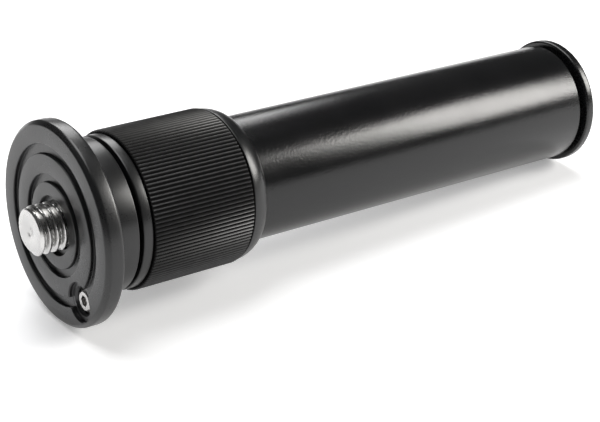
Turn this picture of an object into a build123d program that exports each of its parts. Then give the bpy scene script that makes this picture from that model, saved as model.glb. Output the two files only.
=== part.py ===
"""Telescoping extension column for a camera tripod or spotting scope support.

The column lies along X. The base face of the end cap is at X = 0 and the mounting stud points to +X. An inner
tube slides out of the outer tube, and a knurled collar at the outer tube's end clamps it: turning the collar
pushes a split collet into a taper. Every station is a distance along X from the base face, in millimetres.
"""

import os
from math import cos, radians, sin, tan

from build123d import *

# ---------------------------------------------------------------- clearances
bond_gap = 0.05  # glue line between parts that are bonded
running_gap = 0.05  # radial clearance of a sliding or turning fit
face_gap = 0.05  # axial clearance between faces that bear on each other

# ---------------------------------------------------------------- end cap with its threaded socket
base_stand_off = 0.9  # how far the end cap's flange stands out from the tube
base_thickness = 2.0
base_edge = 0.5
base_plug_length = 10.2
socket_radius = 3.97  # minor radius of the 3/8-16 thread
insert_radius = 6.5
insert_flange_radius = 8.0
insert_flange_thickness = 2.0
bumper_thickness = 2.0
bumper_radius = 9.5
bumper_bore_radius = 6.0

# ---------------------------------------------------------------- outer tube
tube_diameter = 25.5
tube_wall = 1.5
tube_end_groove = 1.4  # shadow groove between the tube's end and the cap's flange
keyway_width = 3.0
keyway_depth = 0.75

# ---------------------------------------------------------------- tube head: threaded sleeve with the taper
head_wall = 1.1
head_grip_length = 11.0
head_rear_setback = 3.4  # from the collar's rear face to the sleeve's rear face
taper_length = 5.0
taper_angle = 19.0
stop_lip_height = 0.7  # how far the stop lip stands in from the outer tube's bore

# ---------------------------------------------------------------- inner tube and its guide
inner_diameter = 20.0
inner_wall = 1.25
guide_length = 20.0
guide_setback = 2.5  # from the inner tube's lower end to the guide shells
guide_split = 1.0
key_side_gap = 0.2
pip_radius = 1.5
pip_hole_gap = 0.1
plug_flange = 1.5
plug_length = 6.0

# ---------------------------------------------------------------- knurled locking collar
collar_rear_station = 88.6
collar_length = 28.8
collar_ring_height = 2.35  # radial height of the front ring above the tube
collar_ring_width = 2.0
shoulder_width = 4.1
shoulder_radius = 2.3
shoulder_tip_height = 0.4
grip_height = 3.0  # radial height of the grip above the tube
grip_wall = 0.95
grip_end_groove = 0.25
collar_rear_lip = 2.2
collar_edge = 0.25
wiper_width = 1.6
wiper_height = 1.6
wiper_setback = 1.4

# ---------------------------------------------------------------- split collet and its thrust washer
collet_slit = 1.6
collet_head_thickness = 1.75
collet_head_step = 0.25  # how far the collet's head stands out past the tube's radius
washer_thickness = 0.8

# ---------------------------------------------------------------- hub
hub_height = 2.35  # radial height of the hub above the tube
hub_length = 6.0
hub_collar_gap = 0.8  # the dark gap between the hub and the collar
hub_edge = 0.3
hub_socket_depth = 3.0
hub_spigot_length = 14.0
spigot_wall = 1.3
deck_thickness = 6.8

# ---------------------------------------------------------------- head plate
plate_diameter = 40.0
plate_thickness = 3.8
plate_front_chamfer = 0.8
plate_rear_chamfer = 0.7
outer_groove_radii = (13.8, 15.7)
inner_groove_radii = (8.4, 10.0)
groove_depth = 0.8
groove_edge = 0.15
plate_recess_radius = 5.8
plate_recess_depth = 1.0

# ---------------------------------------------------------------- stud, nut and washer
stud_diameter = 9.525  # 3/8 inch
stud_projection = 5.0
stud_tip_chamfer = 0.5
stud_relief = 0.2
stud_flange_radius = 6.9
stud_flange_thickness = 1.9
shank_radius = 4.0
shank_projection = 1.2
nut_corner_gap = 0.471797  # room in the pocket around the corners of a 12 mm nut
nut_thickness = 5.0
lock_washer_thickness = 1.2
lock_washer_gap = 0.5
lock_washer_cut = 1.0

# ---------------------------------------------------------------- set screw that locks the plate to the hub
screw_pitch_radius = 15.2
screw_angle = 143.0  # from +Z towards +Y
screw_radius = 2.5
screw_face_depth = 1.1
screw_chamfer = 0.7
screw_hex = 2.0
screw_hex_depth = 1.5
spotface_radius = 3.8
spotface_depth = 0.85
screw_countersink = 0.4

# ---------------------------------------------------------------- worked-out sizes and stations
tube_radius = tube_diameter / 2
base_radius = tube_radius + base_stand_off
tube_bore = tube_radius - tube_wall
inner_radius = inner_diameter / 2
inner_bore = inner_radius - inner_wall
tube_start = base_thickness + tube_end_groove
plug_top = base_thickness + base_plug_length
bumper_top = plug_top + bumper_thickness

collar_front = collar_rear_station + collar_length
ring_rear = collar_front - collar_ring_width
grip_front = ring_rear - grip_end_groove
grip_rear = collar_rear_station + shoulder_width + grip_end_groove
grip_radius = tube_radius + grip_height
ring_radius = tube_radius + collar_ring_height
shoulder_tip_radius = tube_radius + shoulder_tip_height
core_radius = grip_radius - grip_wall - bond_gap
groove_floor = core_radius
thread_radius = tube_radius + bond_gap + head_wall
collar_bore = thread_radius + running_gap
collar_inside_rear = collar_rear_station + collar_rear_lip
rear_lip_bore = tube_radius + 3 * running_gap
front_bore = inner_radius + 5 * running_gap

head_rear = collar_rear_station + head_rear_setback
tube_end = head_rear + head_grip_length
taper_small = tube_bore - stop_lip_height
taper_rise = taper_length * tan(radians(taper_angle))
head_front = tube_end + bond_gap + 1.0 + taper_length
taper_start = head_front - taper_length

collet_head_rear = head_front + 2 * face_gap
collet_head_front = collet_head_rear + collet_head_thickness
washer_rear = collet_head_front + face_gap
washer_front = washer_rear + washer_thickness
collar_inside_front = washer_front + face_gap
collet_bore = inner_radius + running_gap
collet_head_radius = tube_radius + collet_head_step

hub_rear = collar_front + hub_collar_gap
hub_front = hub_rear + hub_length
plate_rear = hub_front
plate_front = plate_rear + plate_thickness
hub_radius = tube_radius + hub_height
plate_radius = plate_diameter / 2
inner_tube_front = hub_rear + hub_socket_depth
plug_bottom = bumper_top + face_gap
inner_tube_rear = plug_bottom + plug_flange
guide_rear = inner_tube_rear + guide_setback
guide_front = guide_rear + guide_length
guide_radius = tube_bore - 2 * running_gap
deck_rear = hub_front - deck_thickness
nut_pocket_radius = inner_bore - bond_gap - spigot_wall
nut_corner_radius = nut_pocket_radius - nut_corner_gap
lock_washer_radius = nut_pocket_radius - lock_washer_gap
stud_radius = stud_diameter / 2
stud_end = plate_front + stud_projection
shank_end = deck_rear - lock_washer_thickness - nut_thickness - shank_projection
screw_y = screw_pitch_radius * sin(radians(screw_angle))
screw_z = screw_pitch_radius * cos(radians(screw_angle))
screw_face = plate_front - screw_face_depth
screw_end = hub_front + face_gap
screw_length = screw_face - screw_end


def turned_profile(*points):
    """A closed half section of (station, radius) points, ready to revolve about the column's axis."""
    with BuildLine(Plane.XY) as outline:
        Polyline(*points, close=True)
    make_face(outline.edges())


def keep(name, part):
    """Labels a finished piece and writes it to its own STEP file."""
    part.label = name
    export_step(part, f"parts/{name}.step")


os.makedirs("parts", exist_ok=True)

# ================================================================ fixed pieces
# End cap: a flange that the column can stand on, with a plug bonded into the tube.
with BuildPart() as base_cap:
    with BuildSketch(Plane.XZ):
        turned_profile(
            (0, insert_radius),
            (0, base_radius - base_edge),
            (base_edge, base_radius),
            (base_thickness - base_edge, base_radius),
            (base_thickness, base_radius - base_edge),
            (base_thickness, tube_bore - 4 * bond_gap),
            (tube_start, tube_bore - 4 * bond_gap),
            (tube_start, tube_bore - bond_gap),
            (plug_top, tube_bore - bond_gap),
            (plug_top, insert_flange_radius),
            (plug_top - insert_flange_thickness, insert_flange_radius),
            (plug_top - insert_flange_thickness, insert_radius),
        )
    revolve(axis=Axis.X)
keep("base_cap", base_cap.part)

# Threaded insert: its flange sits inside the plug, so the thread cannot be pulled out of the cap.
with BuildPart() as base_insert:
    with BuildSketch(Plane.XZ):
        turned_profile(
            (0, socket_radius),
            (0, insert_radius - bond_gap),
            (plug_top - insert_flange_thickness, insert_radius - bond_gap),
            (plug_top - insert_flange_thickness, insert_flange_radius - bond_gap),
            (plug_top, insert_flange_radius - bond_gap),
            (plug_top, socket_radius),
        )
    revolve(axis=Axis.X)
keep("base_insert", base_insert.part)

# Bumper: the inner tube's plug lands on it when the column is closed.
with BuildPart() as bumper:
    with BuildSketch(Plane.XZ):
        turned_profile(
            (plug_top, bumper_bore_radius),
            (plug_top, bumper_radius),
            (bumper_top, bumper_radius),
            (bumper_top, bumper_bore_radius),
        )
    revolve(axis=Axis.X)
keep("bumper", bumper.part)

# Outer tube: two keyways along its bore stop the inner tube from turning.
with BuildPart() as outer_tube:
    with BuildSketch(Plane.YZ.offset(tube_start)):
        Circle(tube_radius)
        Circle(tube_bore, mode=Mode.SUBTRACT)
        Rectangle(2 * (tube_bore + keyway_depth), keyway_width, mode=Mode.SUBTRACT)
    extrude(amount=tube_end - tube_start)
keep("outer_tube", outer_tube.part)

# Tube head: bonded over the tube's end. It carries the collar's thread, the collet's taper and the stop lip.
with BuildPart() as tube_head:
    with BuildSketch(Plane.XZ):
        turned_profile(
            (head_rear, tube_radius + bond_gap),
            (head_rear, thread_radius),
            (head_front, thread_radius),
            (head_front, taper_small + taper_rise),
            (taper_start, taper_small),
            (tube_end + bond_gap, taper_small),
            (tube_end + bond_gap, tube_radius + bond_gap),
        )
    revolve(axis=Axis.X)
keep("tube_head", tube_head.part)

# ================================================================ clamp pieces, which move along the column
# Split collet: its cone goes into the tube head's taper and closes it on the inner tube.
with BuildPart() as split_collet:
    with BuildSketch(Plane.XZ):
        cone_gap = 2 * face_gap * tan(radians(taper_angle))
        turned_profile(
            (taper_start, collet_bore),
            (taper_start, taper_small - cone_gap),
            (head_front, taper_small + taper_rise - cone_gap),
            (collet_head_rear, taper_small + taper_rise - cone_gap),
            (collet_head_rear, collet_head_radius),
            (collet_head_front, collet_head_radius),
            (collet_head_front, collet_bore),
        )
    revolve(axis=Axis.X)
    with BuildSketch(Plane.YZ.offset(taper_start)):
        with Locations((0, collet_head_radius)):
            Rectangle(collet_slit, 2 * collet_head_radius)
    extrude(amount=collet_head_front - taper_start, mode=Mode.SUBTRACT)
keep("split_collet", split_collet.part)

# Thrust washer: the collar turns against it, so the collet is not dragged round.
with BuildPart() as thrust_washer:
    with BuildSketch(Plane.YZ.offset(washer_rear)):
        Circle(collet_head_radius)
        Circle(collet_bore, mode=Mode.SUBTRACT)
    extrude(amount=washer_thickness)
keep("thrust_washer", thrust_washer.part)

# ================================================================ locking collar, which turns
# Core: smooth front ring, a seat for the grip, a rounded rear shoulder and the thread for the tube head.
with BuildPart() as collar_core:
    with BuildSketch(Plane.XZ):
        with BuildLine():
            shoulder_front = collar_rear_station + shoulder_width
            bend_start = shoulder_front - shoulder_radius / 2
            Polyline(
                (collar_rear_station, shoulder_tip_radius),
                (collar_rear_station, rear_lip_bore),
                (collar_inside_rear, rear_lip_bore),
                (collar_inside_rear, collar_bore),
                (collar_inside_front, collar_bore),
                (collar_inside_front, front_bore),
                (collar_front - wiper_setback - wiper_width, front_bore),
                (collar_front - wiper_setback - wiper_width, front_bore + wiper_height),
                (collar_front - wiper_setback, front_bore + wiper_height),
                (collar_front - wiper_setback, front_bore),
                (collar_front, front_bore),
                (collar_front, ring_radius - collar_edge),
                (collar_front - collar_edge, ring_radius),
                (ring_rear, ring_radius),
                (ring_rear, groove_floor),
                (shoulder_front, groove_floor),
                (shoulder_front, grip_radius - collar_edge),
                (bend_start, grip_radius - collar_edge),
            )
            TangentArc(
                (bend_start, grip_radius - collar_edge),
                (collar_rear_station, shoulder_tip_radius),
                tangent=(-1, 0),
            )
        make_face()
    revolve(axis=Axis.X)
keep("collar_core", collar_core.part)

# Grip: a rubber sleeve stretched over the core. Its straight flutes are a surface finish.
with BuildPart() as grip_sleeve:
    with BuildSketch(Plane.XZ):
        turned_profile(
            (grip_rear, core_radius + bond_gap),
            (grip_rear, grip_radius),
            (grip_front, grip_radius),
            (grip_front, core_radius + bond_gap),
        )
    revolve(axis=Axis.X)
keep("grip_sleeve", grip_sleeve.part)

# Wiper: a felt ring in the collar's mouth that keeps grit off the inner tube.
with BuildPart() as wiper_ring:
    with BuildSketch(Plane.XZ):
        turned_profile(
            (collar_front - wiper_setback - wiper_width + face_gap, inner_radius + running_gap),
            (collar_front - wiper_setback - wiper_width + face_gap, front_bore + wiper_height - bond_gap),
            (collar_front - wiper_setback - face_gap, front_bore + wiper_height - bond_gap),
            (collar_front - wiper_setback - face_gap, inner_radius + running_gap),
        )
    revolve(axis=Axis.X)
keep("wiper_ring", wiper_ring.part)

# ================================================================ inner column, which slides
# Inner tube: two holes near its lower end take the guide shells' pips.
with BuildPart() as inner_tube:
    with BuildSketch(Plane.YZ.offset(inner_tube_rear)):
        Circle(inner_radius)
        Circle(inner_bore, mode=Mode.SUBTRACT)
    extrude(amount=inner_tube_front - inner_tube_rear)
    pip_station = (guide_rear + guide_front) / 2
    with BuildSketch(Plane.XY):
        with Locations((pip_station, 0)):
            Circle(pip_radius + pip_hole_gap)
    extrude(amount=inner_radius, both=True, mode=Mode.SUBTRACT)
keep("inner_tube", inner_tube.part)

# Guide shells: two halves on the inner tube's lower end, with a pip each and keys that run in the keyways.
for shell_name, side in (("guide_shell_upper", 1), ("guide_shell_lower", -1)):
    with BuildPart() as guide_shell:
        with BuildSketch(Plane.YZ.offset(guide_rear)):
            Circle(guide_radius)
            key_height = keyway_width - 2 * key_side_gap
            Rectangle(2 * (tube_bore + keyway_depth - key_side_gap), key_height)
            Circle(inner_radius + running_gap, mode=Mode.SUBTRACT)
            with Locations((0, -side * guide_radius)):
                Rectangle(3 * guide_radius, 2 * guide_radius + guide_split, mode=Mode.SUBTRACT)
        extrude(amount=guide_length)
        with BuildSketch(Plane.XY.offset(side * (inner_radius + 3 * running_gap))):
            with Locations((pip_station, 0)):
                Circle(pip_radius)
        extrude(amount=-side * inner_wall)
    keep(shell_name, guide_shell.part)

# Plug: closes the inner tube's lower end.
with BuildPart() as inner_plug:
    with BuildSketch(Plane.XZ):
        turned_profile(
            (plug_bottom, 0),
            (plug_bottom, inner_radius - running_gap),
            (inner_tube_rear, inner_radius - running_gap),
            (inner_tube_rear, inner_bore - bond_gap),
            (inner_tube_rear + plug_length, inner_bore - bond_gap),
            (inner_tube_rear + plug_length, 0),
        )
    revolve(axis=Axis.X)
keep("inner_plug", inner_plug.part)

# Hub: bonded on the inner tube. Its deck carries the stud, and the plate and its set screw bear on its face.
with BuildPart() as head_hub:
    with BuildSketch(Plane.XZ):
        turned_profile(
            (hub_rear - hub_spigot_length, nut_pocket_radius),
            (hub_rear - hub_spigot_length, inner_bore - bond_gap),
            (inner_tube_front + bond_gap, inner_bore - bond_gap),
            (inner_tube_front + bond_gap, inner_radius + bond_gap),
            (hub_rear, inner_radius + bond_gap),
            (hub_rear, hub_radius - hub_edge),
            (hub_rear + hub_edge, hub_radius),
            (hub_front, hub_radius),
            (hub_front, stud_flange_radius + bond_gap),
            (hub_front - stud_flange_thickness - bond_gap, stud_flange_radius + bond_gap),
            (hub_front - stud_flange_thickness - bond_gap, shank_radius + bond_gap),
            (deck_rear, shank_radius + bond_gap),
            (deck_rear, nut_pocket_radius),
        )
    revolve(axis=Axis.X)
keep("head_hub", head_hub.part)

# Head plate: two turned grooves, a spot face for the set screw and the stud's hole in a shallow recess.
with BuildPart() as head_plate:
    with BuildSketch(Plane.XZ):
        turned_profile(
            (plate_rear, stud_radius + running_gap),
            (plate_rear, plate_radius - plate_rear_chamfer),
            (plate_rear + plate_rear_chamfer, plate_radius),
            (plate_front - plate_front_chamfer, plate_radius),
            (plate_front, plate_radius - plate_front_chamfer),
            (plate_front, plate_recess_radius),
            (plate_front - plate_recess_depth, plate_recess_radius),
            (plate_front - plate_recess_depth, stud_radius + running_gap),
        )
    revolve(axis=Axis.X)
    for near, far in (inner_groove_radii, outer_groove_radii):
        with BuildSketch(Plane.XZ):
            turned_profile(
                (plate_front, near - groove_edge),
                (plate_front, far + groove_edge),
                (plate_front - groove_edge, far),
                (plate_front - groove_depth, far),
                (plate_front - groove_depth, near),
                (plate_front - groove_edge, near),
            )
        revolve(axis=Axis.X, mode=Mode.SUBTRACT)
    with BuildSketch(Plane.YZ.offset(plate_front - spotface_depth)):
        with Locations((screw_y, screw_z)):
            Circle(spotface_radius)
    extrude(amount=spotface_depth, mode=Mode.SUBTRACT)
    with Locations(Plane.YZ.offset(plate_front - spotface_depth)):
        with Locations((screw_y, screw_z)):
            CounterSinkHole(
                radius=screw_radius + running_gap,
                counter_sink_radius=screw_radius + running_gap + screw_countersink,
                counter_sink_angle=90,
            )
keep("head_plate", head_plate.part)

# Set screw: it stands in the plate's tapped hole and presses on the hub's face, so the plate cannot unscrew.
with BuildPart() as plate_set_screw:
    with BuildSketch(Plane.YZ.offset(screw_end)):
        with Locations((screw_y, screw_z)):
            Circle(screw_radius)
    extrude(amount=screw_length)
    screw_faces = plate_set_screw.faces().filter_by(Axis.X).sort_by(Axis.X)
    chamfer(screw_faces[-1].edges(), length=screw_chamfer)
    chamfer(screw_faces[0].edges(), length=screw_chamfer)
    with BuildSketch(Plane.YZ.offset(screw_face)):
        with Locations((screw_y, screw_z)):
            RegularPolygon(radius=screw_hex / 2, side_count=6, major_radius=False)
    extrude(amount=-screw_hex_depth, mode=Mode.SUBTRACT)
keep("plate_set_screw", plate_set_screw.part)

# Mounting stud: the thread that a head screws onto, a flange in the hub's recess and a shank for the nut.
with BuildPart() as mounting_stud:
    with BuildSketch(Plane.XZ):
        turned_profile(
            (shank_end, 0),
            (shank_end, shank_radius - stud_tip_chamfer),
            (shank_end + stud_tip_chamfer, shank_radius),
            (hub_front - stud_flange_thickness, shank_radius),
            (hub_front - stud_flange_thickness, stud_flange_radius),
            (hub_front, stud_flange_radius),
            (hub_front, stud_radius - stud_relief),
            (plate_front, stud_radius - stud_relief),
            (plate_front, stud_radius),
            (stud_end - stud_tip_chamfer, stud_radius),
            (stud_end, stud_radius - stud_tip_chamfer),
            (stud_end, 0),
        )
    revolve(axis=Axis.X)
keep("mounting_stud", mounting_stud.part)

# Lock washer: a split spring washer under the nut.
with BuildPart() as lock_washer:
    with BuildSketch(Plane.YZ.offset(deck_rear - lock_washer_thickness)):
        Circle(lock_washer_radius)
        Circle(shank_radius + 2 * running_gap, mode=Mode.SUBTRACT)
        with Locations((0, lock_washer_radius)):
            Rectangle(lock_washer_cut, 2 * lock_washer_radius, mode=Mode.SUBTRACT)
    extrude(amount=lock_washer_thickness)
keep("lock_washer", lock_washer.part)

# Nut: draws the stud's flange down on the hub's deck.
with BuildPart() as stud_nut:
    with BuildSketch(Plane.YZ.offset(deck_rear - lock_washer_thickness - nut_thickness)):
        RegularPolygon(radius=nut_corner_radius, side_count=6)
        Circle(shank_radius + running_gap, mode=Mode.SUBTRACT)
    extrude(amount=nut_thickness)
keep("stud_nut", stud_nut.part)

slide_travel = tube_end + bond_gap - guide_front
print(f"length {stud_end:.2f}, plate face {plate_front:.2f}, slide travel up to {slide_travel:.2f} mm")
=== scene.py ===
# %% [markdown]
# # A telescoping extension column, seen in Blender
# The column goes between a tripod and a head. Its parts are turned on a lathe, so most of this lesson is
# about making turned parts that look machined: a profile with small rounded edges, spun round the column's
# axis. The mechanical model is loaded first and never moved. Everything below is built in its frame, in
# metres, with the column along X.

import math

import bmesh
import bpy
from mathutils import Matrix, Vector


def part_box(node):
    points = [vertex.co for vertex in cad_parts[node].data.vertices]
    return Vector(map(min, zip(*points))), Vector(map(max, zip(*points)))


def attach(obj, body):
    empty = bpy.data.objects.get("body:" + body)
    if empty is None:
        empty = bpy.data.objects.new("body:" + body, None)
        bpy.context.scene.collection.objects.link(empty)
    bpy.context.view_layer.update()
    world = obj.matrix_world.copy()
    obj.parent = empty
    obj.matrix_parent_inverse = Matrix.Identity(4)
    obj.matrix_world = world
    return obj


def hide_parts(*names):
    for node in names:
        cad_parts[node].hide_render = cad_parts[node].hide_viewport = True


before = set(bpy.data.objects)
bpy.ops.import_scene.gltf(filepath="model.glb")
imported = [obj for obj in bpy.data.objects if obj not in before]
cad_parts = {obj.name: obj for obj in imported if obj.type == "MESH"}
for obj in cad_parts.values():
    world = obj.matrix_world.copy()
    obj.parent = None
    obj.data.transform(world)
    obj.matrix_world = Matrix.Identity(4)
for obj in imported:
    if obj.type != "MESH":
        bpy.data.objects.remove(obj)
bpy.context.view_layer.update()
MM = 0.001


# %% Read stations and radii from the model
def span(node):
    """First station, last station and outer radius of a turned node, in metres."""
    low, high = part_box(node)
    return low.x, high.x, (high.z - low.z) / 2


def inner_radius(node, start=-1.0, end=1.0):
    """Smallest distance from the axis of a node's points between two stations."""
    points = [v.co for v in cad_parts[node].data.vertices if start <= v.co.x <= end]
    return min(math.hypot(p.y, p.z) for p in points)


plate_rear, plate_front, plate_radius = span("head_plate")
hub_tail, hub_front, hub_radius = span("head_hub")
collar_rear, collar_front, _ = span("collar_core")
grip_rear, grip_front, grip_radius = span("grip_sleeve")
tube_start, tube_end, tube_radius = span("outer_tube")
inner_start, inner_end, inner_tube_radius = span("inner_tube")
base_rear, base_plug_end, base_radius = span("base_cap")
stud_start, stud_end, _ = span("mounting_stud")
print(f"plate face {plate_front / MM:.1f} mm, stud end {stud_end / MM:.1f} mm")
print(f"tube radius {tube_radius / MM:.2f} mm")

# %% [markdown]
# ## Turned parts
# A lathe leaves a part that is a profile spun round an axis. Blender's Spin or Screw tools could do it, but
# a ring of points for each profile point is just as short and gives full control: corners are rounded
# before they are spun, so every edge catches light the way a deburred edge does, and the rings close on
# themselves with no seam.

# %% Round the corners of a profile
CORNER_STEPS = 4
CORNER_SHARE = 0.45  # the most of a side that one corner may use


def rounded(points):
    """A closed profile of (station, radius, corner) points in millimetres, with its corners rounded."""
    path = []
    count = len(points)
    for i, (x, r, corner) in enumerate(points):
        here = Vector((x, r))
        if corner <= 0:
            path.append(here)
            continue
        before = Vector(points[i - 1][:2]) - here
        after = Vector(points[(i + 1) % count][:2]) - here
        reach = min(corner, CORNER_SHARE * before.length, CORNER_SHARE * after.length)
        start, end = here + before.normalized() * reach, here + after.normalized() * reach
        for step in range(CORNER_STEPS + 1):
            t = step / CORNER_STEPS
            path.append(start * (1 - t) ** 2 + here * 2 * t * (1 - t) + end * t ** 2)
    return path


# %% Spin a profile round the column
SEGMENTS = 192
SHARP = 30.0  # degrees
MERGE_DISTANCE = 1e-7
SHORTEST_EDGE = 1e-8


def new_piece(name, mesh, sharp=SHARP):
    """A linked object with smooth shading that breaks at edges sharper than the angle."""
    mesh.shade_smooth()
    mesh.set_sharp_from_angle(angle=math.radians(sharp))
    piece = bpy.data.objects.new(name, mesh)
    bpy.context.scene.collection.objects.link(piece)
    return piece


def face_outwards(mesh):
    """Merges doubled points and points every face of a closed mesh outwards."""
    work = bmesh.new()
    work.from_mesh(mesh)
    bmesh.ops.remove_doubles(work, verts=work.verts, dist=MERGE_DISTANCE)
    bmesh.ops.dissolve_degenerate(work, edges=work.edges, dist=SHORTEST_EDGE)
    bmesh.ops.recalc_face_normals(work, faces=work.faces)
    work.to_mesh(mesh)
    work.free()


def turned(name, points, segments=SEGMENTS):
    """Spins a closed profile of (station, radius, corner) points, in millimetres, round the X axis."""
    path = rounded(points)
    angles = [2 * math.pi * k / segments for k in range(segments)]
    verts = [(p.x * MM, p.y * MM * math.cos(a), p.y * MM * math.sin(a)) for p in path for a in angles]
    faces = []
    for i in range(len(path)):
        j = (i + 1) % len(path)
        for k in range(segments):
            m = (k + 1) % segments
            faces.append((i * segments + k, i * segments + m, j * segments + m, j * segments + k))
    mesh = bpy.data.meshes.new(name)
    mesh.from_pydata(verts, [], faces)
    face_outwards(mesh)
    piece = new_piece(name, mesh)
    print(f"{name}: {len(path)} profile points, {len(mesh.polygons)} faces")
    return piece


# %% [markdown]
# ## Outer tube and base flange
# The tube is a drawn tube with clean ends. It is spun here with a plain bore, without the two keyways of
# the mechanical model. The base flange is a moulded ring with soft edges, and it stands a little proud of
# the tube, with a narrow groove between the two where the glue line would be.

# %% Outer tube
TUBE_WALL = 1.5
x0, x1, r = tube_start / MM, tube_end / MM, tube_radius / MM
outer_tube = turned("outer_tube_drawn", [
    (x0, r - TUBE_WALL, 0.1), (x0, r, 0.15), (x1, r, 0.15), (x1, r - TUBE_WALL, 0.1)])

# %% Base flange
BOND_GAP = 0.05
flange_end = 2.0
seat_radius = inner_radius("base_cap", base_rear - MM, base_rear + 0.1 * MM) / MM
plug_radius = r - TUBE_WALL - BOND_GAP
neck_radius = plug_radius - 0.1
flange_radius = base_radius / MM
shelf = 10.2
shelf_radius = 8.0
base_flange = turned("base_flange", [
    (0, seat_radius, 0.15), (0, flange_radius, 0.55), (flange_end, flange_radius, 0.5),
    (flange_end, neck_radius, 0), (base_plug_end / MM, neck_radius, 0.3),
    (base_plug_end / MM, shelf_radius, 0.1), (shelf, shelf_radius, 0), (shelf, seat_radius, 0)])

# %% [markdown]
# ## Head plate
# The plate is what the eye goes to: two turned grooves leave three flat lands, the rim has a chamfer, and a
# spot face over the outer groove takes a set screw. The grooves belong to the spun profile. The spot face
# is off the axis, so it is cut with a Boolean, using a cutter that is itself turned on its own axis and
# moved into place.

# %% Plate profile
face = plate_front / MM
back = plate_rear / MM
rim = plate_radius / MM
GROOVE_DEPTH = 0.8
GROOVES = ((8.4, 10.0), (13.8, 15.7))
RIM_CHAMFER = 0.8
BACK_ROUND = 0.8
BORE = 4.8125
RECESS = 5.8
RECESS_DEPTH = 1.0
EDGE = 0.22
GROOVE_CORNER = 0.15


def groove_points(near, far):
    """The four corners of one groove, walked towards the rim."""
    floor = face - GROOVE_DEPTH
    return [(face, near, EDGE), (floor, near, GROOVE_CORNER), (floor, far, GROOVE_CORNER), (face, far, EDGE)]


plate_points = [
    (back, BORE, 0.1), (face - RECESS_DEPTH, BORE, 0.05), (face - RECESS_DEPTH, RECESS, 0.1),
    (face, RECESS, 0.15)]
for near, far in GROOVES:
    plate_points += groove_points(near, far)
plate_points += [(face, rim - RIM_CHAMFER, 0.25), (face - RIM_CHAMFER, rim, 0.3), (back, rim, BACK_ROUND)]
head_plate = turned("head_plate_turned", plate_points, segments=256)

# %% Cut the spot face and the tapped hole
SPOT_RADIUS = 3.8
SPOT_DEPTH = 0.85
HOLE_RADIUS = 2.55
HOLE_MOUTH = 2.95
SPOT_CHAMFER = 0.2
CUT_MARGIN = 1
low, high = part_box("plate_set_screw")
screw_centre = Vector((0, (low.y + high.y) / 2, (low.z + high.z) / 2))


def cut(piece, points, centre):
    """Cuts a turned shape, moved off the axis, out of a piece, and keeps the result as a plain mesh."""
    cutter = turned("cutter", points, segments=64)
    cutter.data.transform(Matrix.Translation(centre))
    modifier = piece.modifiers.new("cut", "BOOLEAN")
    modifier.operation = "DIFFERENCE"
    modifier.solver = "EXACT"
    modifier.object = cutter
    bpy.context.view_layer.update()
    result = bpy.data.meshes.new_from_object(piece.evaluated_get(bpy.context.evaluated_depsgraph_get()))
    piece.modifiers.clear()
    piece.data = result
    face_outwards(result)
    result.shade_smooth()
    result.set_sharp_from_angle(angle=math.radians(SHARP))
    bpy.data.objects.remove(cutter)
    print(f"{piece.name}: {len(result.polygons)} faces after the cut")


spot_floor = face - SPOT_DEPTH
cut(head_plate, [
    (back - CUT_MARGIN, 0, 0), (back - CUT_MARGIN, HOLE_RADIUS, 0),
    (spot_floor - (HOLE_MOUTH - HOLE_RADIUS), HOLE_RADIUS, 0), (spot_floor, HOLE_MOUTH, 0),
    (spot_floor, SPOT_RADIUS, 0.25), (face - SPOT_CHAMFER, SPOT_RADIUS, 0),
    (face + SPOT_CHAMFER, SPOT_RADIUS + 2 * SPOT_CHAMFER, 0),
    (face + CUT_MARGIN, SPOT_RADIUS + 2 * SPOT_CHAMFER, 0), (face + CUT_MARGIN, 0, 0)], screw_centre)

# %% [markdown]
# ## Hub, inner tube and collar
# The hub is bonded to the inner tube and slides with it. The dark gap between the hub and the collar is
# real clearance, so it stays dark because light cannot get in. The inner tube is spun without the two holes
# that take the guide shells' pips in the mechanical model. The collar's core shows as a smooth ring in
# front of the grip and as a rounded shoulder behind it.

# %% Hub
HUB_GAP = 0.8
NUT_POCKET = 7.4
SPIGOT = 8.7
SHANK_HOLE = 4.05
DECK_THICKNESS = 6.8
FLANGE_SEAT_RADIUS = 6.95
FLANGE_SEAT_DEPTH = 1.95
hub_back = collar_front / MM + HUB_GAP
hub_face = hub_front / MM
hub_rim = hub_radius / MM
deck_back = hub_face - DECK_THICKNESS
flange_seat = hub_face - FLANGE_SEAT_DEPTH
socket_end = inner_end / MM + BOND_GAP
socket_radius = inner_tube_radius / MM + BOND_GAP
head_hub = turned("head_hub_turned", [
    (hub_tail / MM, NUT_POCKET, 0.2), (hub_tail / MM, SPIGOT, 0.3), (socket_end, SPIGOT, 0),
    (socket_end, socket_radius, 0), (hub_back, socket_radius, 0.15), (hub_back, hub_rim, 0.35),
    (hub_face, hub_rim, 0.2), (hub_face, FLANGE_SEAT_RADIUS, 0.1), (flange_seat, FLANGE_SEAT_RADIUS, 0),
    (flange_seat, SHANK_HOLE, 0), (deck_back, SHANK_HOLE, 0), (deck_back, NUT_POCKET, 0)])

# %% Inner tube
INNER_WALL = 1.25
ri = inner_tube_radius / MM
inner_tube = turned("inner_tube_drawn", [
    (inner_start / MM, ri - INNER_WALL, 0.1), (inner_start / MM, ri, 0.15),
    (inner_end / MM, ri, 0.15), (inner_end / MM, ri - INNER_WALL, 0.1)])

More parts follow.
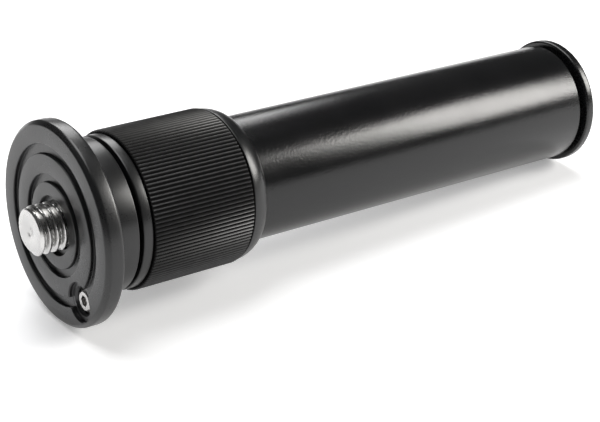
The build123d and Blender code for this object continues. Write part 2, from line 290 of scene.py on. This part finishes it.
# %% Collar core
RING_WIDTH = 2.0
RING_RADIUS = 15.1
GRIP_DEPTH = 1.0
GRIP_END_GROOVE = 0.25
CORE_EDGE = 0.25
REAR_LIP = 2.2
REAR_LIP_BORE = 12.9
THREAD_BORE = 13.95
FRONT_WALL = 5.6
FRONT_BORE = 10.25
WIPER_REAR = 3.0
WIPER_FRONT = 1.4
WIPER_RADIUS = 11.85
SHOULDER_TIP = 13.15
SHOULDER_LAND = 0.3
SHOULDER_STEPS = 10
BULGE = 0.85  # 0 is a straight cone and 1 is a quarter of a squashed circle
rear, front = collar_rear / MM, collar_front / MM
seat = grip_radius / MM - GRIP_DEPTH
shoulder = grip_rear / MM - GRIP_END_GROOVE
shoulder_rim = grip_radius / MM - CORE_EDGE


def shoulder_curve():
    """From the grip's edge down to the tube: a blend of a cone and a quarter of a squashed circle."""
    length, drop = shoulder - rear - SHOULDER_LAND, shoulder_rim - SHOULDER_TIP
    points = []
    for k in range(SHOULDER_STEPS + 1):
        t = math.pi / 2 * k / SHOULDER_STEPS
        along = BULGE * math.sin(t) + (1 - BULGE) * k / SHOULDER_STEPS
        height = BULGE * math.cos(t) + (1 - BULGE) * (1 - k / SHOULDER_STEPS)
        points.append((rear + length * (1 - along), SHOULDER_TIP + drop * height, 0))
    return points


collar_core = turned("collar_core_turned", [
    (rear, REAR_LIP_BORE, 0.1), (rear + REAR_LIP, REAR_LIP_BORE, 0), (rear + REAR_LIP, THREAD_BORE, 0),
    (front - FRONT_WALL, THREAD_BORE, 0), (front - FRONT_WALL, FRONT_BORE, 0),
    (front - WIPER_REAR, FRONT_BORE, 0), (front - WIPER_REAR, WIPER_RADIUS, 0),
    (front - WIPER_FRONT, WIPER_RADIUS, 0), (front - WIPER_FRONT, FRONT_BORE, 0),
    (front, FRONT_BORE, 0.3), (front, RING_RADIUS, 0.3), (front - RING_WIDTH, RING_RADIUS, 0.15),
    (front - RING_WIDTH, seat, 0), (shoulder, seat, 0), (shoulder, shoulder_rim, 0.15)] + shoulder_curve())

# %% [markdown]
# ## Straight knurl
# A hundred and twenty flutes run along the grip. One flute repeats, so Geometry Nodes make it: a small grid
# is bent into one rib and one valley, with a chamfer and an end wall at each end, an inner wall closes it
# underneath, and it is instanced round the axis. Merging the edges at the end turns the instances into one
# closed ring.

# %% A short way to write node trees
class Tree:
    """Makes nodes in a tree: node type, its settings, then the values or links of its sockets."""

    def __init__(self, tree):
        self.tree = tree

    def node(self, kind, settings=None, sockets=None):
        made = self.tree.nodes.new(kind)
        for key, value in (settings or {}).items():
            if key == "stops":
                self._ramp(made.color_ramp, value)
            else:
                setattr(made, key, value)
        for key, value in (sockets or {}).items():
            socket = made.inputs[key]
            value = value.socket if isinstance(value, Value) else value
            if isinstance(value, bpy.types.NodeSocket):
                self.tree.links.new(value, socket)
            elif value is not None:
                socket.default_value = value
        return made

    def value(self, kind, settings=None, sockets=None, out=0):
        return Value(self, self.node(kind, settings, sockets).outputs[out])

    def _ramp(self, ramp, stops):
        while len(ramp.elements) < len(stops):
            ramp.elements.new(0.5)
        for element, (position, shade) in zip(ramp.elements, stops):
            element.position = position
            element.color = (shade, shade, shade, 1) if isinstance(shade, (int, float)) else shade

    def maths(self, operation, a, b=0.0):
        return self.value("ShaderNodeMath", {"operation": operation}, {0: a, 1: b})


class Value:
    """A number on a socket, so that node maths reads as arithmetic."""

    def __init__(self, tree, socket):
        self.tree, self.socket = tree, socket

    def __add__(self, other):
        return self.tree.maths("ADD", self, other)

    def __sub__(self, other):
        return self.tree.maths("SUBTRACT", self, other)

    def __rsub__(self, other):
        return self.tree.maths("SUBTRACT", other, self)

    def __mul__(self, other):
        return self.tree.maths("MULTIPLY", self, other)

    def __truediv__(self, other):
        return self.tree.maths("DIVIDE", self, other)

    def __pow__(self, other):
        return self.tree.maths("POWER", self, other)

    __radd__ = __add__
    __rmul__ = __mul__


# %% Node tree of the knurl
LAST_RIB_ROW = 0.75  # rows of the grid count from 0 at the middle of the flute to 1 at its ends
CROWDING = 0.03  # a small power, which crowds the rows towards the ends
VALLEY_EDGE, CREST_EDGE = 0.25, 0.95
END_WALL_ROW = 0.8
CHAMFER_ROW, CHAMFER_DROP = 0.7, 0.8
EASING_ROW, EASING_DROP = 0.45, 0.2


def knurl_tree():
    """One flute, bent from a grid and instanced round the X axis."""
    group = bpy.data.node_groups.new("straight_knurl", "GeometryNodeTree")
    face_socket = group.interface.new_socket
    face_socket("Geometry", in_out="INPUT", socket_type="NodeSocketGeometry")
    face_socket("Geometry", in_out="OUTPUT", socket_type="NodeSocketGeometry")
    for label, kind in (
            ("Start", "Float"), ("Length", "Float"), ("Radius", "Float"), ("Inner Radius", "Float"),
            ("Depth", "Float"), ("Count", "Int"), ("Finish", "Material")):
        face_socket(label, in_out="INPUT", socket_type="NodeSocket" + kind)
    t = Tree(group)
    given = t.node("NodeGroupInput")
    length, radius = Value(t, given.outputs["Length"]), Value(t, given.outputs["Radius"])
    inner, depth = Value(t, given.outputs["Inner Radius"]), Value(t, given.outputs["Depth"])
    start, count = Value(t, given.outputs["Start"]), Value(t, given.outputs["Count"])
    place = t.node("ShaderNodeSeparateXYZ", sockets={0: t.node("GeometryNodeInputPosition").outputs[0]})
    along, across = Value(t, place.outputs[0]), Value(t, place.outputs[1])

    rows = t.maths("ABSOLUTE", along)
    reach = t.maths("MINIMUM", rows / LAST_RIB_ROW, 1.0) ** CROWDING
    station = start + length * (0.5 + reach * t.maths("SIGN", along) * 0.5)
    turn = across * 2 * math.pi / count
    crest = 1 - t.maths("ABSOLUTE", across * 2)
    rib = t.value("ShaderNodeMapRange", {"interpolation_type": "SMOOTHSTEP"}, {
        "Value": crest, "From Min": VALLEY_EDGE, "From Max": CREST_EDGE, "To Min": 0.0, "To Max": 1.0})
    end_wall = t.maths("GREATER_THAN", rows, END_WALL_ROW)
    last_rows = t.maths("GREATER_THAN", rows, CHAMFER_ROW) * CHAMFER_DROP
    chamfer = last_rows + t.maths("GREATER_THAN", rows, EASING_ROW) * EASING_DROP
    outer = radius - depth * (1 - rib * (1 - chamfer))
    height = outer * (1 - end_wall) + inner * end_wall

    def bent(at_radius):
        """The sockets of a point on the ring at this radius."""
        across_y, across_z = at_radius * t.maths("COSINE", turn), at_radius * t.maths("SINE", turn)
        return t.node("ShaderNodeCombineXYZ", sockets={0: station, 1: across_y, 2: across_z}).outputs[0]

    rib_grid = t.node("GeometryNodeMeshGrid", sockets={0: 2.0, 1: 1.0, 2: 9, 3: 9})
    wall_grid = t.node("GeometryNodeMeshGrid", sockets={0: 2.0, 1: 1.0, 2: 2, 3: 9})
    ribbed = t.node("GeometryNodeSetPosition", sockets={0: rib_grid.outputs[0], 2: bent(height)})
    wall = t.node("GeometryNodeSetPosition", sockets={0: wall_grid.outputs[0], 2: bent(inner)})
    both = t.node("GeometryNodeJoinGeometry")
    group.links.new(ribbed.outputs[0], both.inputs[0])
    group.links.new(t.node("GeometryNodeFlipFaces", sockets={0: wall.outputs[0]}).outputs[0], both.inputs[0])

    points = t.node("GeometryNodePoints", sockets={0: count})
    step = Value(t, t.node("GeometryNodeInputIndex").outputs[0]) * 2 * math.pi / count
    turned_by = t.node("ShaderNodeCombineXYZ", sockets={0: step})
    ring_of = t.node("GeometryNodeInstanceOnPoints", sockets={
        0: points.outputs[0], 2: both.outputs[0], 5: turned_by.outputs[0]})
    real = t.node("GeometryNodeRealizeInstances", sockets={0: ring_of.outputs[0]})
    merged = t.node("GeometryNodeMergeByDistance", sockets={0: real.outputs[0], "Distance": 2e-6})
    finished = t.node("GeometryNodeSetMaterial", sockets={0: merged.outputs[0], 2: given.outputs["Finish"]})
    t.node("NodeGroupOutput", sockets={0: finished.outputs[0]})
    return group


# %% Cut the knurl
FLUTES = 120
FLUTE_DEPTH = 0.4


def grown(name, group, values):
    """A mesh made by a node tree with the named inputs set, kept as a plain mesh."""
    seed = bpy.data.objects.new("seed", bpy.data.meshes.new("seed"))
    bpy.context.scene.collection.objects.link(seed)
    modifier = seed.modifiers.new("nodes", "NODES")
    modifier.node_group = group
    for item in group.interface.items_tree:
        if item.in_out == "INPUT" and item.name in values:
            modifier[item.identifier] = values[item.name]
    bpy.context.view_layer.update()
    mesh = bpy.data.meshes.new_from_object(seed.evaluated_get(bpy.context.evaluated_depsgraph_get()))
    bpy.data.objects.remove(seed)
    mesh.name = name
    return mesh


grip_mesh = grown("knurled_grip", knurl_tree(), {
    "Start": grip_rear, "Length": grip_front - grip_rear, "Radius": grip_radius,
    "Inner Radius": seat * MM + BOND_GAP * MM, "Depth": FLUTE_DEPTH * MM, "Count": FLUTES})
face_outwards(grip_mesh)
knurled_grip = new_piece("knurled_grip", grip_mesh, sharp=50)
print(f"grip: {FLUTES} flutes, {len(grip_mesh.polygons)} faces")

# %% [markdown]
# ## Screw threads
# A thread is not a stack of rings: it climbs. The radius at each point depends on how far along the helix
# it is, which is one formula of the station and the angle, so the thread is a fine grid wrapped round the
# axis whose radius follows a profile with straight flanks and flat crests and roots. The same formula makes
# the stud's thread and the one in the socket.

# %% Thread by formula
PITCH = 25.4 / 16
THREAD_SEGMENTS = 128
ROWS_PER_PITCH = 20
ROOT_FLAT = 0.14
FLANK = 0.66


def thread_height(station, angle):
    """0 at the root and 1 at the crest of a right-hand thread of 16 turns to the inch."""
    phase = (station / PITCH - angle / (2 * math.pi)) % 1.0
    ramp = 1 - abs(2 * phase - 1)
    return min(1.0, max(0.0, (ramp - ROOT_FLAT) / FLANK))


def eased(value):
    """0 to 1 with a soft start and a soft end."""
    value = min(1.0, max(0.0, value))
    return value * value * (3 - 2 * value)


def threaded_rows(start, end, crest, root, fade_in, fade_out):
    """Rings of (station, radius at each angle) for a thread that runs out at both ends."""
    count = max(2, int((end - start) / PITCH * ROWS_PER_PITCH))
    rows = []
    for i in range(count + 1):
        x = start + (end - start) * i / count
        radii = []
        for k in range(THREAD_SEGMENTS):
            height = thread_height(x, 2 * math.pi * k / THREAD_SEGMENTS)
            fade = eased((x - start) / fade_in) if fade_in else 1.0
            fade *= eased((end - x) / fade_out) if fade_out else 1.0
            radii.append(root + (crest - root) * height * fade)
        rows.append((x, radii))
    return rows


def rings(*points):
    """Plain rings at (station, radius)."""
    return [(x, [r] * THREAD_SEGMENTS) for x, r in points]


def wrapped(name, rows, closed, sharp=40.0):
    """A piece through rings of points: closed joins the last ring to the first, and open has capped ends."""
    angles = [2 * math.pi * k / THREAD_SEGMENTS for k in range(THREAD_SEGMENTS)]
    verts = [
        (x * MM, r * MM * math.cos(a), r * MM * math.sin(a))
        for x, radii in rows for r, a in zip(radii, angles)]
    n = THREAD_SEGMENTS
    pairs = [(i, (i + 1) % len(rows)) for i in range(len(rows) if closed else len(rows) - 1)]
    faces = [
        (i * n + k, i * n + (k + 1) % n, j * n + (k + 1) % n, j * n + k) for i, j in pairs for k in range(n)]
    if not closed:
        faces += [tuple(range(n)), tuple(range((len(rows) - 1) * n, len(rows) * n))]
    mesh = bpy.data.meshes.new(name)
    mesh.from_pydata(verts, [], faces)
    face_outwards(mesh)
    print(f"{name}: {len(rows)} rings, {len(mesh.polygons)} faces")
    return new_piece(name, mesh, sharp)


# %% Mounting stud
CREST = 4.7625
ROOT = 3.95
TIP_CHAMFER = 0.55
SHANK = 3.95
SHANK_TIP = 3.4
SHANK_CHAMFER = 0.5
STUD_FLANGE = 6.9
STUD_FLANGE_CORNER = 6.7
STUD_FLANGE_EDGE = 0.2
STUD_FLANGE_THICKNESS = 1.9
end = stud_end / MM
shank_start = stud_start / MM
flange_rear, flange_front = hub_face - STUD_FLANGE_THICKNESS, hub_face
thread_start = flange_front + 0.3
stud_rows = rings(
    (shank_start, SHANK_TIP), (shank_start + SHANK_CHAMFER, SHANK), (flange_rear, SHANK),
    (flange_rear, STUD_FLANGE_CORNER), (flange_rear + STUD_FLANGE_EDGE, STUD_FLANGE),
    (flange_front - STUD_FLANGE_EDGE, STUD_FLANGE), (flange_front, STUD_FLANGE_CORNER), (flange_front, ROOT))
for x, radii in threaded_rows(thread_start, end - 0.02, CREST, ROOT, 0.8, 0):
    limit = CREST - max(0.0, x - (end - TIP_CHAMFER)) * 1.1
    stud_rows.append((x, [min(radius, limit) for radius in radii]))
tip_radius = min(stud_rows[-1][1])
stud_rows += rings((end, tip_radius - 0.12), (end, 1.2), (end - 0.15, 0.9), (end - 0.35, 0.25))
threaded_stud = wrapped("threaded_stud", stud_rows, closed=False)

# %% Threaded insert in the base
_, insert_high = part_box("base_insert")
insert_end = insert_high.x / MM
SOCKET_CREST = 3.98
SOCKET_LEAD = 0.5
RUN_OUT = 0.6
INSERT_EDGE = 0.15
insert_outer, insert_lip = 6.45, 7.95
lip_start = insert_end - 1.95
socket_rows = threaded_rows(SOCKET_LEAD, insert_end - SOCKET_LEAD, SOCKET_CREST, CREST, RUN_OUT, RUN_OUT)
insert_rows = rings((0.0, CREST + INSERT_EDGE), (0.4, CREST)) + socket_rows + rings(
    (insert_end, CREST), (insert_end, insert_lip), (lip_start, insert_lip), (lip_start, insert_outer),
    (INSERT_EDGE, insert_outer), (0.0, insert_outer - INSERT_EDGE))
threaded_insert = wrapped("threaded_insert", insert_rows, closed=True)

# %% [markdown]
# ## Finishes
# Black is never one black. The plate and hub are bead blasted and anodised, with a fine even grain. The
# tube is powder coated, which levels into a faint orange peel. The flange is smooth moulded nylon, and the
# stud is bright plated steel. Each finish reads Object coordinates, so it stays put on its part.

# %% A finish on the Principled shader
def finish(name, colour, roughness, metallic=0.0, specular=0.5):
    """A new material: its tree, its shader and the object coordinates in millimetres."""
    material = bpy.data.materials.new(name)
    material.use_nodes = True
    t = Tree(material.node_tree)
    shader = material.node_tree.nodes["Principled BSDF"]
    for socket, value in (
            ("Base Color", (*colour, 1)), ("Roughness", roughness), ("Metallic", metallic),
            ("Specular IOR Level", specular)):
        shader.inputs[socket].default_value = value
    coords = t.node("ShaderNodeTexCoord").outputs["Object"]
    millimetres = t.node("ShaderNodeMapping", sockets={0: coords, 3: (1000, 1000, 1000)}).outputs[0]
    return material, t, shader, millimetres


def noise(t, coords, scale, detail=2.0, rough=0.5):
    """Noise with features about 1 / scale millimetres across."""
    return t.value("ShaderNodeTexNoise", sockets={
        "Vector": coords, "Scale": scale, "Detail": detail, "Roughness": rough})


def vary(t, shader, socket, amount, low, high):
    """Maps the middle of a 0 to 1 amount, where noise mostly lies, to a range of a shader socket."""
    mapped = t.value("ShaderNodeMapRange", sockets={
        "Value": amount, "From Min": 0.3, "From Max": 0.7, "To Min": low, "To Max": high})
    t.tree.links.new(mapped.socket, shader.inputs[socket])


def tint(t, shader, amount, dark, light):
    """Mixes two colours by a 0 to 1 amount into Base Color."""
    mixed = t.node("ShaderNodeMix", {"data_type": "RGBA"}, {"Factor": amount, 6: (*dark, 1), 7: (*light, 1)})
    t.tree.links.new(mixed.outputs[2], shader.inputs["Base Color"])


def bumped(t, shader, height, strength, distance):
    """A bump on the shader's normal, its distance in millimetres."""
    bump = t.node("ShaderNodeBump", sockets={
        "Height": height, "Strength": strength, "Distance": distance * MM})
    t.tree.links.new(bump.outputs[0], shader.inputs["Normal"])


# %% Blasted and anodised aluminium
def anodised(name, dark, light, roughness, specular=0.5, grain=0.012):
    material, t, shader, mm = finish(name, light, roughness, specular=specular)
    fine, broad = noise(t, mm, 3.2, 3.0), noise(t, mm, 0.12, 2.0)
    tint(t, shader, broad * 0.6 + fine * 0.4, dark, light)
    vary(t, shader, "Roughness", broad * 0.5 + fine * 0.5, roughness - 0.05, roughness + 0.07)
    bumped(t, shader, fine, 0.6, grain)
    return material


DEEP_BLACK, BLACK, SOFT_BLACK = (0.004, 0.0042, 0.0045), (0.007, 0.0072, 0.0076), (0.013, 0.0133, 0.0138)
plate_finish = anodised("blasted_black_plate", BLACK, SOFT_BLACK, 0.30, 0.5, 0.02)
hub_finish = anodised("anodised_black_hub", DEEP_BLACK, BLACK, 0.30, grain=0.005)
collar_finish = anodised("anodised_black_collar", DEEP_BLACK, BLACK, 0.30, grain=0.005)


# %% Grip: dark in the valleys from painted shade, with crests lightened by a painted highlight
def knurled():
    material, t, shader, mm = finish("knurled_black_grip", (0.006, 0.006, 0.006), 0.4)
    place = t.node("ShaderNodeSeparateXYZ", sockets={0: mm}).outputs
    radius = (Value(t, place[1]) ** 2.0 + Value(t, place[2]) ** 2.0) ** 0.5
    crest = t.value("ShaderNodeMapRange", sockets={
        "Value": radius, "From Min": grip_radius / MM - FLUTE_DEPTH, "From Max": grip_radius / MM})
    crest_sheen_noise = noise(t, mm, 0.8, 3.0)
    # Painted shade darkens the valleys and a painted highlight, broken up by noise, lightens the crests; the
    # crests are also glossier
    tint(t, shader, crest * crest_sheen_noise * 1.6, (0.0015, 0.0015, 0.0016), (0.022, 0.022, 0.0225))
    t.tree.links.new((0.62 - crest * 0.3).socket, shader.inputs["Roughness"])
    t.tree.links.new((crest * 0.5 + 0.05).socket, shader.inputs["Specular IOR Level"])
    return material


grip_finish = knurled()


# %% Powder coat on the tube
def powder_coat():
    material, t, shader, mm = finish("powder_coat_tube", (0.005, 0.0052, 0.0055), 0.22, specular=0.42)
    peel, fine, broad = noise(t, mm, 2.6, 2.0), noise(t, mm, 5.0, 2.0), noise(t, mm, 0.1, 2.0)
    tint(t, shader, broad, (0.004, 0.0042, 0.0045), (0.006, 0.0062, 0.0066))
    vary(t, shader, "Roughness", fine * 0.5 + broad * 0.5, 0.18, 0.25)
    bumped(t, shader, peel * 0.8 + fine * 0.2, 0.8, 0.05)
    return material


tube_finish = powder_coat()


# %% Moulded nylon, drawn aluminium, steel, acetal, rubber and felt
def moulded(name, colour, roughness):
    material, t, shader, mm = finish(name, colour, roughness)
    fine = noise(t, mm, 2.5, 2.0)
    vary(t, shader, "Roughness", fine, roughness - 0.04, roughness + 0.05)
    bumped(t, shader, fine, 0.3, 0.006)
    return material


def turned_metal(name, colour, roughness, lines=0.004):
    """Metal with the fine rings that a lathe tool leaves round the axis."""
    material, t, shader, mm = finish(name, colour, roughness, metallic=1.0)
    stretched = t.node("ShaderNodeMapping", sockets={0: mm, 3: (9.0, 0.2, 0.2)}).outputs[0]
    rings_mark, smudge = noise(t, stretched, 1.0, 2.0), noise(t, mm, 0.4, 3.0)
    vary(t, shader, "Roughness", rings_mark * 0.5 + smudge * 0.5, roughness - 0.06, roughness + 0.1)
    bumped(t, shader, rings_mark, 0.5, lines)
    return material


cap_finish = moulded("semi_gloss_cap", (0.005, 0.0052, 0.0055), 0.26)
nylon_finish = moulded("black_nylon", (0.02, 0.02, 0.021), 0.5)
acetal_finish = moulded("natural_acetal", (0.72, 0.7, 0.65), 0.35)
rubber_finish = moulded("black_rubber", (0.018, 0.018, 0.018), 0.75)
inner_finish = turned_metal("drawn_aluminium_tube", (0.09, 0.092, 0.097), 0.3, lines=0.001)
stud_finish = turned_metal("bright_plated_stud", (0.56, 0.555, 0.545), 0.26)
screw_finish = turned_metal("bright_plated_screw", (0.56, 0.55, 0.54), 0.26)
steel_finish = turned_metal("turned_steel", (0.55, 0.54, 0.53), 0.3)


def felt():
    material, t, shader, mm = finish("pressed_felt", (0.1, 0.1, 0.1), 0.95, specular=0.2)
    fibres = noise(t, mm, 6.0, 4.0, 0.7)
    tint(t, shader, fibres, (0.06, 0.06, 0.06), (0.15, 0.15, 0.15))
    bumped(t, shader, fibres, 0.8, 0.06)
    return material


felt_finish = felt()
print("finishes:", len(bpy.data.materials))

# %% [markdown]
# ## Joining the pieces to the model
# Each piece rides on a body of the mechanical model, so it moves when a joint moves. The set screw and most
# of the parts hidden inside keep their mechanical shape and only get their finish.

# %% Ride, replace and finish
NEW_PIECES = (
    (outer_tube, "outer_tube", "outer_column", "tube_black", tube_finish),
    (base_flange, "base_cap", "outer_column", "cap_black", cap_finish),
    (threaded_insert, "base_insert", "outer_column", "plain_steel", steel_finish),
    (collar_core, "collar_core", "locking_collar", "anodised_black", collar_finish),
    (knurled_grip, "grip_sleeve", "locking_collar", "grip_black", grip_finish),
    (inner_tube, "inner_tube", "inner_column", "bare_aluminium", inner_finish),
    (head_hub, "head_hub", "inner_column", "anodised_black", hub_finish),
    (head_plate, "head_plate", "inner_column", "anodised_black", plate_finish),
    (threaded_stud, "mounting_stud", "inner_column", "bright_steel", stud_finish),
)
for piece, node, body, slot, material in NEW_PIECES:
    piece.data.materials.clear()
    piece.data.materials.append(material)
    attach(piece, body)
    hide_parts(node)
print("new pieces:", len(NEW_PIECES))

# %% Finish the parts that keep their mechanical shape
KEPT_FINISHES = {
    "bumper": rubber_finish, "tube_head": collar_finish, "split_collet": acetal_finish,
    "thrust_washer": steel_finish, "wiper_ring": felt_finish, "guide_shell_upper": nylon_finish,
    "guide_shell_lower": nylon_finish, "inner_plug": nylon_finish, "plate_set_screw": screw_finish,
    "lock_washer": steel_finish, "stud_nut": steel_finish}
for node, material in KEPT_FINISHES.items():
    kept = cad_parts[node]
    kept.data.materials.clear()
    kept.data.materials.append(material)
print("kept parts:", len(KEPT_FINISHES))

# %% [markdown]
# ## Floor, light and camera
# A product photographer would put the column on a sheet of white paper under large soft lights. The floor
# is tilted by almost three degrees in the column's frame, because the column rests on its plate's rim and
# its base's rim, which differ in radius. A softbox to the side, beyond the base end, makes the long
# highlight on the tube. One more stands behind the column and one hangs overhead. The white floor glows a
# little and lights it from below.

# %% Floor under both rims
FLOOR_GAP = 0.0001
FLOOR_GLOW = 0.33
rest_slope = (rim - flange_radius) / (face - flange_end)
floor_normal = Vector((rest_slope, 0, 1)).normalized()
floor_point = Vector((0, 0, -flange_radius * MM - FLOOR_GAP))
floor_turn = floor_normal.to_track_quat("Z", "Y").to_matrix().to_4x4()
floor_mesh = bpy.data.meshes.new("floor")
FLOOR = 6.0
corners = [(-FLOOR, -FLOOR, 0), (FLOOR, -FLOOR, 0), (FLOOR, FLOOR, 0), (-FLOOR, FLOOR, 0)]
floor_mesh.from_pydata(corners, [], [(0, 1, 2, 3)])
floor_mesh.transform(Matrix.Translation(floor_point) @ floor_turn)
floor = bpy.data.objects.new("floor", floor_mesh)
bpy.context.scene.collection.objects.link(floor)
floor_finish, _, floor_shader, _ = finish("white_paper", (0.9, 0.9, 0.91), 0.9, specular=0.1)
floor_shader.inputs["Emission Color"].default_value = (1, 1, 1, 1)
floor_shader.inputs["Emission Strength"].default_value = FLOOR_GLOW
floor_mesh.materials.append(floor_finish)
print(f"floor slope {math.degrees(math.atan(rest_slope)):.2f} degrees")

# %% Camera
LENS = 102.84
AZIMUTH, ELEVATION, DISTANCE = math.radians(142.90), math.radians(24.45), 0.347
aim = Vector((0.07539, 0.00657, -0.00717))
camera_up = Vector((-0.2206, -0.3517, 0.9097))
level = math.cos(ELEVATION)
away = Vector((math.sin(AZIMUTH) * level, -math.cos(AZIMUTH) * level, math.sin(ELEVATION)))


def looking(position, target, up):
    """A world matrix at a position that looks at a target, its Y axis as near to up as it can be."""
    back_axis = (position - target).normalized()
    side = up.cross(back_axis).normalized()
    top = back_axis.cross(side)
    turn = Matrix((side, top, back_axis)).transposed().to_4x4()
    return Matrix.Translation(position) @ turn


camera_data = bpy.data.cameras.new("camera")
camera_data.lens = LENS
camera_data.clip_start, camera_data.clip_end = 0.01, 50
camera = bpy.data.objects.new("camera", camera_data)
camera.matrix_world = looking(aim + away * DISTANCE, aim, camera_up)
bpy.context.scene.collection.objects.link(camera)
bpy.context.scene.camera = camera
print("camera at", [round(v / MM, 1) for v in camera.matrix_world.translation])


# %% Soft studio lights
def softbox(name, position, target, size, power, colour=(1, 1, 1)):
    """A rectangular area light, in metres and watts, facing its target."""
    data = bpy.data.lights.new(name, "AREA")
    data.shape = "RECTANGLE"
    data.size, data.size_y = size
    data.energy = power
    data.color = colour
    light = bpy.data.objects.new(name, data)
    light.matrix_world = looking(Vector(position), Vector(target), Vector((0, 0, 1)))
    bpy.context.scene.collection.objects.link(light)


middle = Vector((0.06, 0, 0))
softbox("key_side", middle + Vector((-0.74, 0.52, 0.52)), middle, (0.42, 0.50), 10.6, (1.0, 0.985, 0.95))
softbox("back_rim", middle + Vector((-0.28, -0.70, 0.62)), middle, (0.45, 0.50), 4.0)
softbox("overhead", middle + Vector((0.12, -0.26, 0.96)), middle, (0.75, 0.75), 8.5)

world = bpy.data.worlds.new("studio")
world.use_nodes = True
sky = Tree(world.node_tree)
seen = sky.node("ShaderNodeLightPath").outputs["Is Camera Ray"]
dim, white = 0.05, 1.0
background = world.node_tree.nodes["Background"]
background.inputs[0].default_value = (1, 1, 1, 1)
strength = Value(sky, seen) * (white - dim) + dim
world.node_tree.links.new(strength.socket, background.inputs[1])
bpy.context.scene.world = world
bpy.context.scene.view_settings.view_transform = "Standard"
print("lights:", len(bpy.data.lights))
